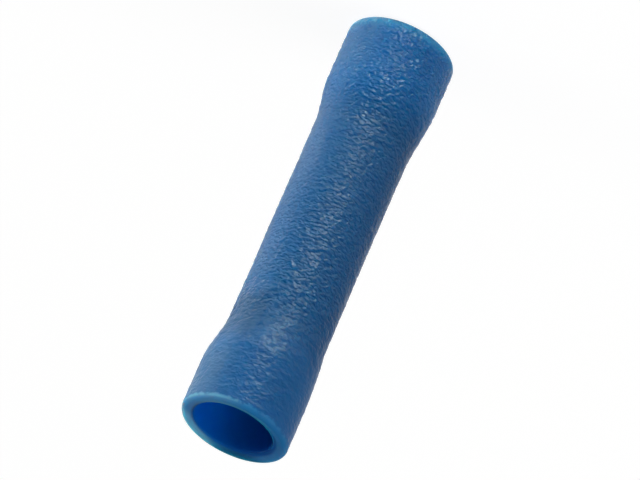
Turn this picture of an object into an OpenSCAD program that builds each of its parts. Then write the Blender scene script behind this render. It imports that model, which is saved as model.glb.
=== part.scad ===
// Insulated butt splice connector for joining two wires end to end.
// A vinyl sleeve with belled ends grips a tin plated crimp barrel.
// The part stands on one mouth: the origin is the centre of the lower end face and +Z runs along the axis.

/* [Sleeve] */
// Overall length of the insulating sleeve
sleeve_length = 26; // [22:0.5:40]
// Wall thickness of the sleeve
sleeve_wall = 0.8; // [0.6:0.05:1.2]
// Straight length of each belled end
bell_length = 3.2; // [1:0.1:4]
// Length of the shoulder between a belled end and the waist
shoulder_length = 3.6; // [1:0.1:5]
// How far a belled end stands out from the waist, on the radius
bell_flare = 0.35; // [0.1:0.05:0.8]
// Rounding of the outer edge of each mouth
lip_radius = 0.3; // [0.1:0.05:0.35]
// Rounding of the inner edge of each mouth
mouth_radius = 0.1; // [0.05:0.01:0.2]

/* [Crimp barrel] */
// Length of the crimp barrel
barrel_length = 15; // [12:0.5:20]
// Outside diameter of the crimp barrel
barrel_diameter = 4; // [3.6:0.1:6]
// Bore that takes the stripped wire
wire_bore = 2.3; // [1.6:0.1:2.8]
// Width of the countersink that leads the wire into the bore
countersink = 0.3; // [0.1:0.05:0.4]
// Rounding of the barrel's outer end edges
barrel_edge_radius = 0.12; // [0.05:0.01:0.2]
// Depth of the groove rolled round the middle, which makes the wire stop inside
stop_depth = 0.45; // [0.2:0.05:0.6]
// Length of the rolled groove along the barrel
stop_length = 1.6; // [1.2:0.1:3]

/* [Fit] */
// Gap between the barrel and the sleeve that is drawn tight over it, on the radius
seat_clearance = 0; // [0:0.01:0.05]

/* [Hidden] */

waist_bore_radius = barrel_diameter / 2 + seat_clearance;
waist_radius = waist_bore_radius + sleeve_wall;
bell_radius = waist_radius + bell_flare;
mouth_bore_radius = waist_bore_radius + bell_flare;

barrel_radius = barrel_diameter / 2;
wire_radius = wire_bore / 2;
barrel_bottom = (sleeve_length - barrel_length) / 2;
barrel_top = barrel_bottom + barrel_length;
stop_middle = sleeve_length / 2;

// Steps along a rounded edge, along a shoulder and along the rolled groove
edge_steps = 8;
shoulder_steps = 20;
groove_steps = 24;
// Sides of every turned surface
$fn = 128;

vinyl_blue = [0.09, 0.33, 0.60];
tin_grey = [0.80, 0.81, 0.80];

// Points of an arc about a centre, from one angle to another, ends included
function arc(centre, radius, from, to) =
    [for (i = [0:edge_steps])
        let (a = from + (to - from) * i / edge_steps)
        centre + radius * [cos(a), sin(a)]];

// A slope that starts and ends level, for t from 0 to 1
function ease(t) = t * t * (3 - 2 * t);

// One shoulder as radius and height, from the bell at height z_bell to the waist at height z_waist
function shoulder(bell_r, waist_r, z_bell, z_waist) =
    [for (i = [0:shoulder_steps])
        let (t = i / shoulder_steps)
        [bell_r + (waist_r - bell_r) * ease(t), z_bell + (z_waist - z_bell) * t]];

// A wall of the given radius that the rolled groove bends inwards, going up
function grooved(radius) =
    [for (i = [0:groove_steps])
        let (t = i / groove_steps)
        [radius - stop_depth * (1 - cos(360 * t)) / 2, stop_middle + stop_length * (t - 0.5)]];

// The same list from its last point to its first
function reversed(points) = [for (i = [len(points) - 1:-1:0]) points[i]];

// Both shoulders of one wall of the sleeve, going up
function belled(bell_r, waist_r) = concat(
    shoulder(bell_r, waist_r, bell_length, bell_length + shoulder_length),
    reversed(shoulder(bell_r, waist_r, sleeve_length - bell_length,
        sleeve_length - bell_length - shoulder_length)));

// Half section of the sleeve: up the outside, round the upper lip, down the inside, round the lower lip
function sleeve_section() = concat(
    belled(bell_radius, waist_radius),
    arc([bell_radius - lip_radius, sleeve_length - lip_radius], lip_radius, 0, 90),
    arc([mouth_bore_radius + mouth_radius, sleeve_length - mouth_radius], mouth_radius, 90, 180),
    reversed(belled(mouth_bore_radius, waist_bore_radius)),
    arc([mouth_bore_radius + mouth_radius, mouth_radius], mouth_radius, 180, 270),
    arc([bell_radius - lip_radius, lip_radius], lip_radius, 270, 360));

// Half section of the barrel: up the outside past the groove, then down the bore past the wire stop
function barrel_section() = concat(
    arc([barrel_radius - barrel_edge_radius, barrel_bottom + barrel_edge_radius],
        barrel_edge_radius, 270, 360),
    grooved(barrel_radius),
    arc([barrel_radius - barrel_edge_radius, barrel_top - barrel_edge_radius],
        barrel_edge_radius, 0, 90),
    [[wire_radius + countersink, barrel_top], [wire_radius, barrel_top - countersink]],
    reversed(grooved(wire_radius)),
    [[wire_radius, barrel_bottom + countersink], [wire_radius + countersink, barrel_bottom]]);

// Vinyl tube drawn over the barrel, with both ends flared to take the wires' insulation
module insulating_sleeve() {
    color(vinyl_blue)
        rotate_extrude()
            polygon(sleeve_section());
}

// Tin plated copper tube that is crimped onto both wires
module crimp_barrel() {
    color(tin_grey)
        rotate_extrude()
            polygon(barrel_section());
}

insulating_sleeve();
crimp_barrel();
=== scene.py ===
"""Butt splice connector standing on one mouth: a wrinkled vinyl sleeve over a tin plated crimp barrel."""

import math
from typing import NamedTuple

import bpy
import numpy as np
from mathutils import Matrix, Vector, noise

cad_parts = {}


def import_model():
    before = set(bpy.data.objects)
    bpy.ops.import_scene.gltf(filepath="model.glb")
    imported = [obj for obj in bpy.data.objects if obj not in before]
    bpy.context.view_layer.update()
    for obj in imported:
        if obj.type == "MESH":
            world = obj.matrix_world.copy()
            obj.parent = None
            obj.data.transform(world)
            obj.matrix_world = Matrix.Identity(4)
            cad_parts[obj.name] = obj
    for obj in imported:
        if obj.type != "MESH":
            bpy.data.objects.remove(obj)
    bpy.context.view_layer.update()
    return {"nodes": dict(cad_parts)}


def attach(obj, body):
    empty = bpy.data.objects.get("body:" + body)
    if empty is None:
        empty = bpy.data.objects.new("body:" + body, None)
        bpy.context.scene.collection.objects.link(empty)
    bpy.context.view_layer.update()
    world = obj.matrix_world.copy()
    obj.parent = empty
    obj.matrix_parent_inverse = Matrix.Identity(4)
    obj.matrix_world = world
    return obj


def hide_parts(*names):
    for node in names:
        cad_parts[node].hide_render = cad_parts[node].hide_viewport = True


MM = 0.001

# Sleeve, in millimetres, as in the solids
SLEEVE_LENGTH = 26.0
WAIST_RADIUS = 2.8
BELL_FLARE = 0.35
SLEEVE_WALL = 0.8
BELL_LENGTH = 3.2
SHOULDER_LENGTH = 3.6
LIP_RADIUS = 0.3
MOUTH_RADIUS = 0.1
HALF_LENGTH = SLEEVE_LENGTH / 2
BELL_RADIUS = WAIST_RADIUS + BELL_FLARE
MOUTH_BORE = BELL_RADIUS - SLEEVE_WALL

# In what follows +X is the photograph's left, -Y is its front and the upper mouth is its near one.
# A stretch is a pair, from and to: what it stands for is 0 before it, 1 past it and eases in between.

# How the drawn vinyl departs from true round, in millimetres
# Each shoulder is shorter on the left than on the right
SHOULDER_SKEW = 0.7
# The near shoulder comes closer to its mouth on the left, and stays further from it at the front
LEFT_SHIFT = 0.25
FRONT_SHIFT = 0.45
# The near hole, the waist's upper half and the near bell lie off the axis along X
MOUTH_OFFSET = 0.105
MOUTH_OFFSET_HEIGHTS = (19.7, 23.1)
WAIST_BOW = -0.036
WAIST_BOW_HEIGHTS = (12.0, 17.0)
BELL_BOW = 0.09
BELL_BOW_HEIGHTS = (19.8, 23.0)
# Both cuts are askew, by so much height for each millimetre along X
UPPER_CUT_SKEW = 0.037
UPPER_CUT_HEIGHTS = (18.0, 26.0)
LOWER_CUT_SKEW = 0.025
LOWER_CUT_HEIGHTS = (8.0, 0.0)
# Both end faces fall towards the hole, and the bore behind them falls less with its depth
RIM_DROP = 0.15
RIM_DROP_RADII = (BELL_RADIUS - 0.15, MOUTH_BORE)
RIM_DROP_DEPTHS = (5.0, 0.0)

# Rings of the sleeve's mesh, and how far the end face's own ring lies from the mouth's edge
COLUMNS = 210
OUTER_ROWS = 320
LIP_ROWS = 8
EDGE_ROWS = 6
BELL_ROWS = 10
SHOULDER_ROWS = 14
FACE_RING = 0.17

# Leather-like grain: modelled wrinkles that are longer round the tube than along it, in millimetres
GRAIN_STRETCH = (0.76, 0.76, 1.06)
WRINKLE_PITCH = 0.34
WRINKLE_HEIGHT = 0.032
WRINKLE_BEND = 0.5
WRINKLE_BEND_SCALE = 0.5
FINE_WRINKLE_SHARE = 0.35
FINE_WRINKLE_SCALE = 2.1
# Without a seed the noise that bends the wrinkles would be another one in each run
WRINKLE_SEED = 1
# The wrinkles fade in from each end, and their height changes over these stretches of height
WRINKLE_DEPTHS = (0.0, 0.6)
WRINKLE_CHANGES = (
    (0.35, (17.0, 19.0)),
    (-0.65, (20.5, 22.5)),
    (0.35, (6.0, 3.0)),
)

# Fine creases between the wrinkles, as bump: millimetres, and shares that the bells change them by
CREASE_PITCH = 0.18
CREASE_HEIGHT = 0.085
CREASE_DISTORTION = 0.4
CREASE_RADII = (2.7, 2.75)
NEAR_BELL_SOFTENS = 0.60
FAR_BELL_SHARPENS = 0.2

# Zones of the vinyl's colour, as stretches in millimetres
# From the sleeve's middle towards a cut
BELL_ENDS = (6.5, 10.0)
PAINTED_SHEEN_ENDS = (8.0, 10.5)
LIP_ENDS = (12.89, 13.11)
HOLLOW_ENDS = (12.84, 12.90)
# Stretch of the near lip's painted highlight
LIP_HIGHLIGHT_FROM = (12.66, 12.80)
LIP_HIGHLIGHT_TO = (12.80, 12.90)
RIM_SHADE_ENDS = (12.74, 12.84)
FAR_LIP_GLOW_ENDS = (12.1, 12.95)
# Of height
BELL_TO_BELL = (6.0, 20.0)
FAR_BELL_HEIGHTS = (3.0, 7.0)
NEAR_BELL_HEIGHTS = (18.0, 21.5)
NEAR_END_HEIGHTS = (24.6, 25.6)
# Heights where the painted shade on the near shoulder lies
SHOULDER_FROM = (17.5, 19.5)
SHOULDER_TO = (21.0, 22.5)
SATIN_HEIGHTS = (16.5, 19.5)
# Across the tube, from its axis
LEFT_HALF = (-0.5, 2.2)
WHOLE_WIDTH = (-2.6, 2.6)
LIT_SIDE = (1.4, 3.0)
PAINTED_SHEEN_SIDE = (0.6, 2.4)
SHADED_SIDE = (0.4, 1.8)
HOLLOW_RADIUS = 2.75
HOLLOW_DEPTHS = (0.0, 0.1)
# Painted light and shade on the end faces: a direction across the tube, and a stretch along it
RIM_PAINTED_LIGHT_WAY = (-0.9, 0.5)
RIM_PAINTED_LIGHT_REACH = (1.8, 2.8)
RIM_GLOW_WAY = (0.7, 0.6)
RIM_GLOW_REACH = (1.95, 2.45)
RIM_SHADE_WAY = (-0.3, 0.95)
RIM_SHADE_REACH = (2.1, 2.8)

# Colours of the vinyl, and the shares in which they lie over the colours under them
WAIST_BLUE = (0.004, 0.082, 0.235, 1)
FAR_BELL_BLUE = (0.003, 0.116, 0.340, 1)
NEAR_BELL_BLUE = (0.003, 0.095, 0.278, 1)
# Painted light: a lighter blue laid along the bells' right side, most of all at the far bell
LIT_BLUE = (0.060, 0.260, 0.620, 1)
LIT_SHARE = 0.15
LIT_FAR_SHARE = 0.25
# Painted sheen: an olive tint along the bells' left side that stands in for the greyish gloss there
PAINTED_SHEEN_OLIVE = (0.08, 0.10, 0.05, 1)
PAINTED_SHEEN_SHARE = 0.20
# Painted shade: black laid over the near shoulder's left side
BLACK = (0, 0, 0, 1)
SHADED_SHARE = 0.35
MOTTLE_BLUE = (0.003, 0.075, 0.23, 1)
MOTTLE_SHARE = 0.35
# Painted light: a lighter teal band at the far lip that stands in for light glowing through the thin vinyl
FAR_LIP_GLOW_BLUE = (0.02, 0.22, 0.45, 1)
FAR_LIP_GLOW_SHARE = 0.9
# Painted light: end faces paler than the tube, lighter on the left, and a lighter patch at the right back
RIGHT_RIM_BLUE = (0.018, 0.148, 0.365, 1)
LEFT_RIM_BLUE = (0.075, 0.185, 0.355, 1)
RIM_PAINTED_LIGHT_BLUE = (0.065, 0.175, 0.39, 1)
RIM_PAINTED_LIGHT_SHARE = 0.6
# Painted highlight on the near lip's outer edge
LIP_HIGHLIGHT_BLUE = (0.10, 0.27, 0.42, 1)
# Painted light: a lighter glow on the near end face's left back
RIM_GLOW_BLUE = (0.24, 0.39, 0.54, 1)
RIM_GLOW_SHARE = 0.60
# Painted shade: a darker patch at the back of the near end face
RIM_SHADE_BLUE = (0.005, 0.030, 0.09, 1)
RIM_SHADE_SHARE = 0.8
# Painted light and shade in the hollow: lighter on its left, darker on its right
HOLLOW_SHADE_BLUE = (0.001, 0.060, 0.26, 1)
HOLLOW_LIGHT_BLUE = (0.001, 0.130, 0.48, 1)

# Uneven line of the lip, gaps in the near lip's painted highlight, and mottling of the tube, with pitches in
# millimetres
WOBBLE_PITCH = 0.35
WOBBLE_REACH = 0.6
LIP_HIGHLIGHT_GAPS = (0.35, 0.6)
LIP_HIGHLIGHT_RIGHT_SHARE = 0.1
LIP_HIGHLIGHT_LEAST_SHARE = 0.3
MOTTLE_PITCH = 1.6
MOTTLE_DETAIL = 3.0

# Body and skin of the vinyl: scattering in millimetres, the share of light that the skin mirrors, roughness
VINYL_IOR = 1.53
VINYL_SPECULAR = 0.03
VINYL_SCATTER = (0.4, 2.7, 3.5)
VINYL_GLOSS = 0.0045
SATIN = 0.20
SATIN_MOTTLE = 0.08
SATIN_NEAR = 0.08
SATIN_LIP = 0.25

# Tin plate: draw lines along the tube and dull patches, with pitches and heights in millimetres
DULL_TIN = (0.60, 0.60, 0.58, 1)
BRIGHT_TIN = (0.80, 0.79, 0.76, 1)
TIN_ROUGHNESS = 0.22
TIN_DULL_ROUGHNESS = 0.2
TIN_PATCH_PITCH = 0.9
TIN_PATCH_DETAIL = 4.0
DRAW_LINE_STRETCH = (1, 1, 0.06)
DRAW_LINE_PITCH = 0.09
DRAW_LINE_DETAIL = 3.0
DRAW_LINE_HEIGHT = 0.006
DRAW_LINE_STRENGTH = 0.6

# Camera, from the fit to the photograph's outline: degrees, millimetres and pixels
CAMERA_ELEVATION = 27.5
CAMERA_ROLL = 156.27
CAMERA_DISTANCE = 480.0
CAMERA_CLIP = 10.0
PIXELS_PER_MM = 18.16
AIM_PIXEL = (319.4, 237.4)
FRAME_PIXELS = (640, 480)
SENSOR_WIDTH = 36.0

# Floor, with half its width in metres, and sky, which is bright up to the horizon and dim above it
WHITE = (1, 1, 1, 1)
FLOOR_HALF = 1.5
FLOOR_GREY = (0.86, 0.86, 0.86, 1)
FLOOR_GLOW = 1.22
FLOOR_GLOW_SHARE = 0.75
SKY_DIMMED = 0.8
SKY_HEIGHTS = (0.05, 0.10)


class Lamp(NamedTuple):
    """A flat lamp that shines at the middle of the part. Azimuths go from -Y towards +X."""

    name: str
    azimuth: float
    elevation: float
    distance: float
    width: float
    height: float
    watts: float
    colour: tuple


# Lamps, with angles in degrees and sizes in metres.
# The fill and the sheen are under the floor, which lets their light past.
# The fill shows in no gloss, and the sheen shows in nothing else: it makes the glints of the grain
PLAIN_LIGHT = (1, 1, 1)
SIDE_LIGHT = (1.0, 1.0, 0.88)
FILL_LIGHT = (1.0, 0.99, 0.95)
SHEEN_LIGHT = (0.80, 1.0, 0.88)
SOFTBOXES = (
    Lamp("side_softbox", 94, 1, 0.42, 0.22, 0.09, 1.10, SIDE_LIGHT),
    Lamp("top_softbox", -80, 50, 0.50, 0.30, 0.30, 0.54, PLAIN_LIGHT),
)
LOW_FILL = Lamp("low_fill", 24, -14, 0.30, 0.20, 0.10, 0.66, FILL_LIGHT)
SHEEN = (
    Lamp("right_strip", -46, -42, 0.12, 0.130, 0.016, 0.062, SHEEN_LIGHT),
    Lamp("front_strip", -1, -42, 0.12, 0.084, 0.018, 0.25, SHEEN_LIGHT),
    Lamp("left_strip", 60, -42, 0.12, 0.250, 0.016, 0.195, SHEEN_LIGHT),
    Lamp("left_glow", 104, -28, 0.30, 0.460, 0.150, 0.54, SHEEN_LIGHT),
)


class Shade:
    """A socket of a node tree. Arithmetic on it adds Math nodes."""

    def __init__(self, paint, socket):
        self.paint = paint
        self.socket = socket

    def __add__(self, other):
        return self.paint.math("ADD", self, other)

    def __radd__(self, other):
        return self.paint.math("ADD", other, self)

    def __sub__(self, other):
        return self.paint.math("SUBTRACT", self, other)

    def __rsub__(self, other):
        return self.paint.math("SUBTRACT", other, self)

    def __mul__(self, other):
        return self.paint.math("MULTIPLY", self, other)

    def __rmul__(self, other):
        return self.paint.math("MULTIPLY", other, self)

    def __neg__(self):
        return self.paint.math("SUBTRACT", 0, self)

    def __pow__(self, other):
        return self.paint.math("POWER", self, other)

    def larger(self, other):
        return self.paint.math("MAXIMUM", self, other)


class Paint:
    """A material's or the world's node tree."""

    def __init__(self, owner):
        owner.use_nodes = True
        self.owner = owner
        self.tree = owner.node_tree
        self.tree.nodes.clear()

    def node(self, kind, settings=None, sockets=None, out=0):
        """Adds a node, sets its settings, then the values or links of its sockets, and gives one output."""
        made = self.tree.nodes.new(kind)
        for name, value in (settings or {}).items():
            setattr(made, name, value)
        for key, value in (sockets or {}).items():
            socket = self.find(made.inputs, key)
            if isinstance(value, Shade):
                self.tree.links.new(value.socket, socket)
            else:
                socket.default_value = value
        return Shade(self, self.find(made.outputs, out)) if made.outputs else None

    @staticmethod
    def find(sockets, key):
        """A socket by its number, or by its identifier or name."""
        if isinstance(key, int):
            return sockets[key]
        return next(s for s in sockets if key in (s.identifier, s.name))

    def math(self, operation, first, second):
        return self.node("ShaderNodeMath", {"operation": operation}, {0: first, 1: second})

    def position(self):
        """Place on the piece, in millimetres."""
        metres = self.node("ShaderNodeTexCoord", out="Object")
        return self.node("ShaderNodeVectorMath", {"operation": "SCALE"}, {"Vector": metres, "Scale": 1 / MM})

    def parts(self, vector):
        """The three numbers of a vector."""
        return [self.node("ShaderNodeSeparateXYZ", {}, {"Vector": vector}, axis) for axis in "XYZ"]

    def stretched(self, place, scale):
        return self.node("ShaderNodeMapping", {"vector_type": "POINT"}, {"Vector": place, "Scale": scale})

    def blend(self, share, low, high):
        """A colour between two colours."""
        return self.node(
            "ShaderNodeMix",
            {"data_type": "RGBA"},
            {"Factor_Float": share, "A_Color": low, "B_Color": high},
            "Result_Color",
        )

    def rise(self, value, stretch):
        """0 before a stretch and 1 past it, with a smooth step between them."""
        start, end = stretch
        return self.node(
            "ShaderNodeMapRange",
            {"interpolation_type": "SMOOTHSTEP"},
            {"Value": value, "From Min": start, "From Max": end},
        )

    def cloud(self, place, pitch, detail=2.0, distortion=0.0):
        """Soft noise with the given pitch in millimetres."""
        return self.node(
            "ShaderNodeTexNoise",
            {},
            {"Vector": place, "Scale": 1 / pitch, "Detail": detail, "Distortion": distortion},
            "Fac",
        )

    def bump(self, relief, height, strength=1.0):
        """A normal from a relief, with the given height in millimetres."""
        return self.node(
            "ShaderNodeBump", {}, {"Strength": strength, "Distance": height * MM, "Height": relief}
        )

    def mixed(self, share, first, second):
        return self.node("ShaderNodeMixShader", {}, {"Fac": share, 1: first, 2: second})

    def surface(self, shader):
        """Puts the shader on the material, and gives the material."""
        self.node("ShaderNodeOutputMaterial", {}, {"Surface": shader})
        return self.owner


def new_paint(name):
    """The empty node tree of a new material."""
    return Paint(bpy.data.materials.new(name))


class SleevePlace:
    """Where a point of the vinyl lies, in millimetres, and how far it belongs to zones that share a look."""

    def __init__(self, paint):
        self.spot = paint.position()
        self.across, self.deep, self.height = paint.parts(self.spot)
        self.radius = (self.across * self.across + self.deep * self.deep) ** 0.5
        self.to_upper_cut = self.height + UPPER_CUT_SKEW * self.across - HALF_LENGTH
        self.to_lower_cut = HALF_LENGTH - self.height + LOWER_CUT_SKEW * (BELL_RADIUS - self.across)
        self.to_cut = self.to_upper_cut.larger(self.to_lower_cut)
        self.wobble = paint.cloud(self.spot, WOBBLE_PITCH)
        self.mottle = paint.cloud(self.spot, MOTTLE_PITCH, MOTTLE_DETAIL)
        self.left = paint.rise(self.across, LEFT_HALF)
        self.lip = paint.rise(self.to_cut + WOBBLE_REACH * self.wobble, LIP_ENDS)
        self.near_bell = paint.rise(self.height, NEAR_BELL_HEIGHTS)
        self.far_bell = 1 - paint.rise(self.height, FAR_BELL_HEIGHTS)

    def along(self, way):
        """How far the point lies from the axis in a direction across the tube."""
        return way[0] * self.across + way[1] * self.deep


def bell_colour(paint, at):
    """Clear blue of both bells, painted lighter along the right as painted light and tinted olive along the
    left as painted sheen.
    """
    colour = paint.blend(paint.rise(at.height, BELL_TO_BELL), FAR_BELL_BLUE, NEAR_BELL_BLUE)
    # Painted light along the right side
    lit = (LIT_SHARE + LIT_FAR_SHARE * at.far_bell) * paint.rise(-at.across, LIT_SIDE)
    colour = paint.blend(lit, colour, LIT_BLUE)
    # Painted sheen along the left side
    painted_sheen = PAINTED_SHEEN_SHARE * paint.rise(at.across, PAINTED_SHEEN_SIDE) * paint.rise(at.to_cut, PAINTED_SHEEN_ENDS)
    return paint.blend(painted_sheen, colour, PAINTED_SHEEN_OLIVE)


def tube_colour(paint, at):
    """The outside: greyer over the barrel, clearer at the bells, with painted shade on the near shoulder's
    left and a painted glow at the far lip, mottled.
    """
    colour = paint.blend(paint.rise(at.to_cut, BELL_ENDS), WAIST_BLUE, bell_colour(paint, at))
    # Painted shade on the near shoulder's left
    shoulder = paint.rise(at.height, SHOULDER_FROM) * (1 - paint.rise(at.height, SHOULDER_TO))
    shaded = SHADED_SHARE * shoulder * paint.rise(at.across, SHADED_SIDE)
    colour = paint.blend(shaded, colour, BLACK)
    colour = paint.blend(MOTTLE_SHARE * at.mottle, colour, MOTTLE_BLUE)
    # Painted glow at the far lip
    far_lip_glow = FAR_LIP_GLOW_SHARE * paint.rise(at.to_lower_cut, FAR_LIP_GLOW_ENDS)
    return paint.blend(far_lip_glow, colour, FAR_LIP_GLOW_BLUE)


def rim_colour(paint, at):
    """The end faces, painted paler than the tube as painted light for the glow through the thin vinyl,
    lighter still on the left where the light falls and in a patch at the right back.
    """
    colour = paint.blend(at.left, RIGHT_RIM_BLUE, LEFT_RIM_BLUE)
    # Painted light in a patch at the right back
    grey = RIM_PAINTED_LIGHT_SHARE * paint.rise(at.along(RIM_PAINTED_LIGHT_WAY), RIM_PAINTED_LIGHT_REACH)
    return paint.blend(grey, colour, RIM_PAINTED_LIGHT_BLUE)


def lip_highlight(paint, at):
    """A painted highlight: a thin uneven line round the near lip's outer edge, strongest on the left where
    the light falls.
    """
    line = paint.rise(at.to_upper_cut, LIP_HIGHLIGHT_FROM) * (1 - paint.rise(at.to_upper_cut, LIP_HIGHLIGHT_TO))
    sided = line * (LIP_HIGHLIGHT_RIGHT_SHARE + (1 - LIP_HIGHLIGHT_RIGHT_SHARE) * at.left)
    highlight_shown = paint.rise(at.wobble, LIP_HIGHLIGHT_GAPS)
    return sided * (LIP_HIGHLIGHT_LEAST_SHARE + (1 - LIP_HIGHLIGHT_LEAST_SHARE) * highlight_shown)


def near_face_light_and_shade(paint, at, colour):
    """Painted light and shade on the near end face: a lighter glow at its left back and a darker painted
    shade at its back, over a colour.
    """
    # Painted glow at the left back
    pale = paint.rise(at.along(RIM_GLOW_WAY), RIM_GLOW_REACH) * at.lip
    pale = pale * paint.rise(at.height, NEAR_END_HEIGHTS)
    # Painted shade at the back
    dark = paint.rise(at.along(RIM_SHADE_WAY), RIM_SHADE_REACH) * paint.rise(at.to_upper_cut, RIM_SHADE_ENDS)
    colour = paint.blend(RIM_GLOW_SHARE * pale, colour, RIM_GLOW_BLUE)
    return paint.blend(RIM_SHADE_SHARE * dark, colour, RIM_SHADE_BLUE)


def vinyl_colour(paint, at):
    """The tube, its lips and its hollow, each with its own blue, with a painted highlight on the near lip,
    painted light and shade on the near end face, and the inside painted lighter on its left and darker on
    its right.
    """
    colour = paint.blend(at.lip, tube_colour(paint, at), rim_colour(paint, at))
    colour = paint.blend(lip_highlight(paint, at), colour, LIP_HIGHLIGHT_BLUE)
    colour = near_face_light_and_shade(paint, at, colour)
    inside = paint.rise(HOLLOW_RADIUS - at.radius, HOLLOW_DEPTHS) * (1 - paint.rise(at.to_cut, HOLLOW_ENDS))
    # Painted light and shade across the hollow
    hollow = paint.blend(paint.rise(at.across, WHOLE_WIDTH), HOLLOW_SHADE_BLUE, HOLLOW_LIGHT_BLUE)
    return paint.blend(inside, colour, hollow)


def vinyl_creases(paint, at):
    """Fine creases on the outside, softer at the near bell and sharper at the far one."""
    outside = paint.rise(at.radius, CREASE_RADII) * (1 - at.lip)
    outside = outside * (1 - NEAR_BELL_SOFTENS * at.near_bell + FAR_BELL_SHARPENS * at.far_bell)
    drawn = paint.stretched(at.spot, GRAIN_STRETCH)
    creases = paint.cloud(drawn, CREASE_PITCH, detail=0.0, distortion=CREASE_DISTORTION)
    return paint.bump(creases * outside, CREASE_HEIGHT)


def vinyl_finish():
    """Slightly translucent blue soft PVC with a thin satin skin."""
    paint = new_paint("blue_vinyl")
    at = SleevePlace(paint)
    creases = vinyl_creases(paint, at)
    satin = SATIN + SATIN_MOTTLE * at.mottle + SATIN_NEAR * paint.rise(at.height, SATIN_HEIGHTS)
    satin = satin + SATIN_LIP * at.lip
    body = paint.node(
        "ShaderNodeBsdfPrincipled",
        {"subsurface_method": "RANDOM_WALK"},
        {
            "Base Color": vinyl_colour(paint, at),
            "Roughness": satin,
            "IOR": VINYL_IOR,
            "Specular IOR Level": VINYL_SPECULAR,
            "Normal": creases,
            "Subsurface Weight": 1.0,
            "Subsurface Radius": VINYL_SCATTER,
            "Subsurface Scale": MM,
        },
    )
    skin = paint.node(
        "ShaderNodeBsdfPrincipled",
        {},
        {"Base Color": WHITE, "Metallic": 1.0, "Roughness": satin, "Normal": creases},
    )
    return paint.surface(paint.mixed(VINYL_GLOSS, body, skin))


def tin_finish():
    """Bright tin on a drawn copper tube: faint draw lines along the tube, and soft dull patches."""
    paint = new_paint("tin_plate")
    place = paint.position()
    drawn = paint.stretched(place, DRAW_LINE_STRETCH)
    lines = paint.cloud(drawn, DRAW_LINE_PITCH, DRAW_LINE_DETAIL)
    patches = paint.cloud(place, TIN_PATCH_PITCH, TIN_PATCH_DETAIL)
    shader = paint.node(
        "ShaderNodeBsdfPrincipled",
        {},
        {
            "Base Color": paint.blend(patches, DULL_TIN, BRIGHT_TIN),
            "Metallic": 1.0,
            "Roughness": TIN_ROUGHNESS + TIN_DULL_ROUGHNESS * patches,
            "Normal": paint.bump(lines, DRAW_LINE_HEIGHT, DRAW_LINE_STRENGTH),
        },
    )
    return paint.surface(shader)


def seen_white(paint):
    """1 for rays that see the background: from the camera, in a reflection or through glass."""
    rays = ("Is Camera Ray", "Is Glossy Ray", "Is Transmission Ray")
    camera, glossy, transmission = (paint.node("ShaderNodeLightPath", {}, {}, ray) for ray in rays)
    return camera.larger(glossy.larger(transmission))


def floor_finish():
    """Pale floor that is seen as white, apart from the part's shadow."""
    paint = new_paint("white_floor")
    matte = paint.node("ShaderNodeBsdfDiffuse", {}, {"Color": FLOOR_GREY})
    glow = paint.node("ShaderNodeEmission", {}, {"Color": WHITE, "Strength": FLOOR_GLOW})
    return paint.surface(paint.mixed(FLOOR_GLOW_SHARE * seen_white(paint), matte, glow))


def ease(t):
    """A smooth step from 0 to 1."""
    t = np.clip(t, 0.0, 1.0)
    return t * t * (3.0 - 2.0 * t)


def eased_over(value, stretch):
    """0 before a stretch and 1 past it, with a smooth step between them."""
    start, end = stretch
    return ease((value - start) / (end - start))


def arc(centre_r, centre_z, radius, start, end, count):
    """Section points along a rounded edge."""
    turn = np.radians(np.linspace(start, end, count))
    return np.stack([centre_r + radius * np.cos(turn), centre_z + radius * np.sin(turn)], 1)


def upper_rim():
    """Section points of the upper end: its outer lip, a ring on its face, and the mouth's edge."""
    lip = arc(BELL_RADIUS - LIP_RADIUS, SLEEVE_LENGTH - LIP_RADIUS, LIP_RADIUS, 0, 90, LIP_ROWS)[1:]
    edge_radius = MOUTH_BORE + MOUTH_RADIUS
    face = [[edge_radius + FACE_RING, SLEEVE_LENGTH]]
    edge = arc(edge_radius, SLEEVE_LENGTH - MOUTH_RADIUS, MOUTH_RADIUS, 90, 180, EDGE_ROWS)
    return np.concatenate([lip, face, edge])


def bore_heights():
    """Heights of the bore's rings, going down, which are close together at the bells and shoulders."""
    bell_end = SLEEVE_LENGTH - BELL_LENGTH
    bell = np.linspace(SLEEVE_LENGTH - MOUTH_RADIUS, bell_end, BELL_ROWS)[1:]
    shoulder = np.linspace(bell_end, bell_end - SHOULDER_LENGTH, SHOULDER_ROWS)[1:]
    upper = np.concatenate([bell, shoulder])
    return np.concatenate([upper, [HALF_LENGTH], (SLEEVE_LENGTH - upper)[::-1]])


def sleeve_section():
    """Radius and height round the section, with no waist yet, and which points are outside and in the bore.

    The section goes up the outside, over the upper lip, down the bore and round the lower lip.
    """
    outer_z = np.linspace(LIP_RADIUS, SLEEVE_LENGTH - LIP_RADIUS, OUTER_ROWS)
    outer = np.stack([np.full(OUTER_ROWS, BELL_RADIUS), outer_z], 1)
    upper = upper_rim()
    lower = upper[::-1] * [1, -1] + [0, SLEEVE_LENGTH]
    bore_z = bore_heights()
    bore = np.stack([np.full(len(bore_z), MOUTH_BORE), bore_z], 1)
    runs = {"outside": outer, "upper rim": upper, "bore": bore, "lower rim": lower}
    names = np.repeat(list(runs), [len(points) for points in runs.values()])
    section = np.concatenate(list(runs.values()))
    return section, names == "outside", names == "bore"


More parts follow.
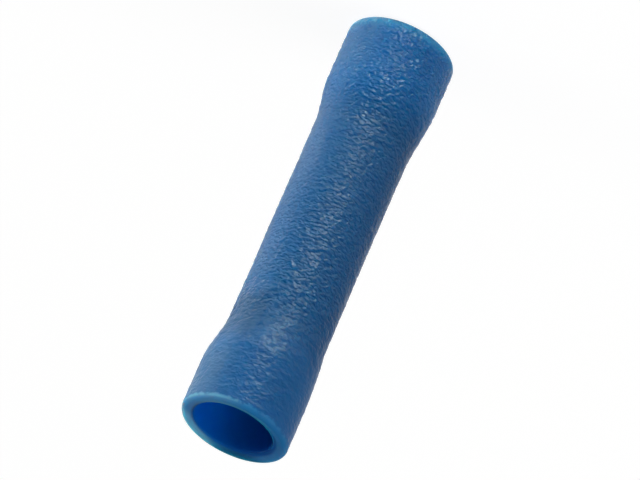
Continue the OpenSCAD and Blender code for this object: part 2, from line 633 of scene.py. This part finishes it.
def waist_draw(z, turn, outside, in_bore):
    """How far the vinyl is drawn in at the waist: 0 at the bells and 1 where it grips the barrel."""
    to_end = np.minimum(z, SLEEVE_LENGTH - z)
    length = SHOULDER_LENGTH - SHOULDER_SKEW * np.cos(turn)
    frontness = np.maximum(-np.sin(turn), 0.0) ** 2
    leftness = 0.5 + 0.5 * np.cos(turn)
    near_shift = FRONT_SHIFT * frontness - LEFT_SHIFT * leftness
    middle = BELL_LENGTH + SHOULDER_LENGTH / 2 + (z > HALF_LENGTH) * near_shift
    outer = ease((to_end - middle) / length + 0.5)
    inner = ease((to_end - BELL_LENGTH) / SHOULDER_LENGTH)
    return np.where(outside, outer, in_bore * inner)


def sloped_ends(section_r, z, outside):
    """Heights with both end faces sloped in towards the hole."""
    to_end = np.minimum(z, SLEEVE_LENGTH - z)
    drop = RIM_DROP * eased_over(section_r, RIM_DROP_RADII) * ~outside
    return z + np.where(z > HALF_LENGTH, -drop, drop) * eased_over(to_end, RIM_DROP_DEPTHS)


def askew(x, z, in_hole):
    """The near hole, the waist and the near bell moved off the axis, and both cuts tilted."""
    x = x + MOUTH_OFFSET * in_hole * eased_over(z, MOUTH_OFFSET_HEIGHTS)
    x = x + WAIST_BOW * eased_over(z, WAIST_BOW_HEIGHTS) + BELL_BOW * eased_over(z, BELL_BOW_HEIGHTS)
    z = z - UPPER_CUT_SKEW * x * eased_over(z, UPPER_CUT_HEIGHTS)
    z = z + LOWER_CUT_SKEW * (BELL_RADIUS - x) * eased_over(z, LOWER_CUT_HEIGHTS)
    return x, z


def wrinkle_shares(section_z, outside):
    """Share of the wrinkles' height that each ring of the section gets."""
    to_end = np.minimum(section_z, SLEEVE_LENGTH - section_z)
    shares = np.ones(len(section_z))
    for change, heights in WRINKLE_CHANGES:
        shares = shares + change * eased_over(section_z, heights)
    return outside * shares * eased_over(to_end, WRINKLE_DEPTHS)


def wrinkles(points):
    """Height of the grain at each point, from about -1 to 1: bent noise with a finer one on it."""
    noise.seed_set(WRINKLE_SEED)
    heights = np.empty(len(points))
    stretch = Vector(GRAIN_STRETCH)
    for i, point in enumerate(points):
        place = Vector(point) * stretch / WRINKLE_PITCH
        bend = WRINKLE_BEND * noise.noise_vector(place * WRINKLE_BEND_SCALE)
        fine = noise.noise(place * FINE_WRINKLE_SCALE - bend)
        heights[i] = noise.noise(place + bend) + FINE_WRINKLE_SHARE * fine
    return heights


def vinyl_rings():
    """Rings of the sleeve's closed skin, one for each point of its section."""
    section, outside, in_bore = sleeve_section()
    section_r, section_z = section[:, :1], section[:, 1:]
    turn = np.linspace(0, 2 * np.pi, COLUMNS, endpoint=False)
    z = np.repeat(section_z, COLUMNS, 1)
    radius = section_r - BELL_FLARE * waist_draw(z, turn, outside[:, None], in_bore[:, None])
    z = sloped_ends(section_r, z, outside[:, None])
    in_hole = in_bore[:, None] | (section_r < MOUTH_BORE + MOUTH_RADIUS)
    x, z = askew(radius * np.cos(turn), z, in_hole)
    points = np.stack([x, radius * np.sin(turn), z], -1)

    heights = wrinkles(points.reshape(-1, 3)).reshape(radius.shape)
    lift = WRINKLE_HEIGHT * heights * wrinkle_shares(section_z[:, 0], outside)[:, None]
    points[..., 0] += lift * np.cos(turn)
    points[..., 1] += lift * np.sin(turn)
    return points


def ring_mesh(name, rings):
    """A closed mesh from rings that meet round the axis and round the section."""
    rows, columns = rings.shape[:2]
    index = np.arange(rows * columns).reshape(rows, columns)
    right = np.roll(index, -1, 1)
    above = np.roll(index, -1, 0)
    faces = np.stack([index, right, np.roll(right, -1, 0), above], -1).reshape(-1, 4)
    mesh = bpy.data.meshes.new(name)
    mesh.from_pydata((rings.reshape(-1, 3) * MM).tolist(), [], faces.tolist())
    mesh.polygons.foreach_set("use_smooth", np.ones(len(faces), bool))
    mesh.update()
    piece = bpy.data.objects.new(name, mesh)
    bpy.context.scene.collection.objects.link(piece)
    return piece


def dress_sleeve():
    """The soft sleeve with its grain, in place of its plain solid."""
    sleeve = ring_mesh("wrinkled_sleeve", vinyl_rings())
    sleeve.data.materials.append(vinyl_finish())
    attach(sleeve, "root")
    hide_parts("insulating_sleeve")


def dress_barrel(frame):
    """Tin plate on the barrel's own solid."""
    barrel = frame["nodes"]["crimp_barrel"]
    barrel.data.materials.clear()
    barrel.data.materials.append(tin_finish())


def lay_floor():
    """A wide floor that casts no shadow, so that the low lamps shine past it."""
    corners = [(-1, -1), (1, -1), (1, 1), (-1, 1)]
    mesh = bpy.data.meshes.new("floor")
    mesh.from_pydata([(x * FLOOR_HALF, y * FLOOR_HALF, 0) for x, y in corners], [], [(0, 1, 2, 3)])
    mesh.materials.append(floor_finish())
    floor = bpy.data.objects.new("floor", mesh)
    floor.visible_shadow = False
    bpy.context.scene.collection.objects.link(floor)


def light_sky():
    """A white world, dimmer above the horizon."""
    world = bpy.data.worlds.new("studio")
    bpy.context.scene.world = world
    paint = Paint(world)
    height = paint.parts(paint.node("ShaderNodeTexCoord", out="Generated"))[2]
    strength = 1.0 - SKY_DIMMED * paint.rise(height, SKY_HEIGHTS)
    glow = paint.node("ShaderNodeBackground", {}, {"Color": WHITE, "Strength": strength})
    paint.node("ShaderNodeOutputWorld", {}, {"Surface": glow})


def add_lamp(lamp, shape):
    """Hangs a lamp and gives its object."""
    data = bpy.data.lights.new(lamp.name, "AREA")
    data.shape = shape
    data.size, data.size_y = lamp.width, lamp.height
    data.energy = lamp.watts
    data.color = lamp.colour
    hung = bpy.data.objects.new(lamp.name, data)
    turn, lift = math.radians(lamp.azimuth), math.radians(lamp.elevation)
    level = math.cos(lift)
    way = Vector((math.sin(turn) * level, -math.cos(turn) * level, math.sin(lift)))
    hung.location = Vector((0, 0, HALF_LENGTH * MM)) + way * lamp.distance
    hung.rotation_euler = way.to_track_quat("Z", "Y").to_euler()
    bpy.context.scene.collection.objects.link(hung)
    return hung


def add_low_lamp(lamp):
    """A lamp under the floor. Only light sampling finds it, because reflected rays stop at the floor."""
    hung = add_lamp(lamp, "ELLIPSE")
    hung.data.cycles.use_multiple_importance_sampling = False
    return hung


def light_studio():
    """Sky, softboxes, a low fill and the low sheen."""
    light_sky()
    for lamp in SOFTBOXES:
        add_lamp(lamp, "RECTANGLE")
    add_low_lamp(LOW_FILL).visible_glossy = False
    for lamp in SHEEN:
        add_low_lamp(lamp).visible_diffuse = False


def camera_axes():
    """The photograph's right, up and back directions in the part's frame."""
    lift = math.radians(CAMERA_ELEVATION)
    roll = math.radians(CAMERA_ROLL)
    side = Vector((1, 0, 0))
    rise = Vector((0, math.sin(lift), math.cos(lift)))
    back = Vector((0, -math.cos(lift), math.sin(lift)))
    right = math.cos(roll) * side - math.sin(roll) * rise
    up = math.sin(roll) * side + math.cos(roll) * rise
    return right, up, back


def place_camera():
    """A camera that shows the part's middle at its pixel of the photograph."""
    right, up, back = camera_axes()
    shift_right = (FRAME_PIXELS[0] / 2 - AIM_PIXEL[0]) / PIXELS_PER_MM
    shift_up = (AIM_PIXEL[1] - FRAME_PIXELS[1] / 2) / PIXELS_PER_MM
    aim = Vector((0, 0, HALF_LENGTH)) + right * shift_right + up * shift_up
    data = bpy.data.cameras.new("camera")
    data.sensor_width = SENSOR_WIDTH
    data.lens = SENSOR_WIDTH * CAMERA_DISTANCE * PIXELS_PER_MM / FRAME_PIXELS[0]
    data.clip_start = CAMERA_CLIP * MM
    camera = bpy.data.objects.new("camera", data)
    turned = Matrix((right, up, back)).transposed().to_4x4()
    camera.matrix_world = Matrix.Translation((aim + back * CAMERA_DISTANCE) * MM) @ turned
    bpy.context.scene.collection.objects.link(camera)
    bpy.context.scene.camera = camera


def main():
    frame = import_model()
    bpy.context.scene.view_settings.view_transform = "Standard"
    dress_sleeve()
    dress_barrel(frame)
    lay_floor()
    light_studio()
    place_camera()


main()
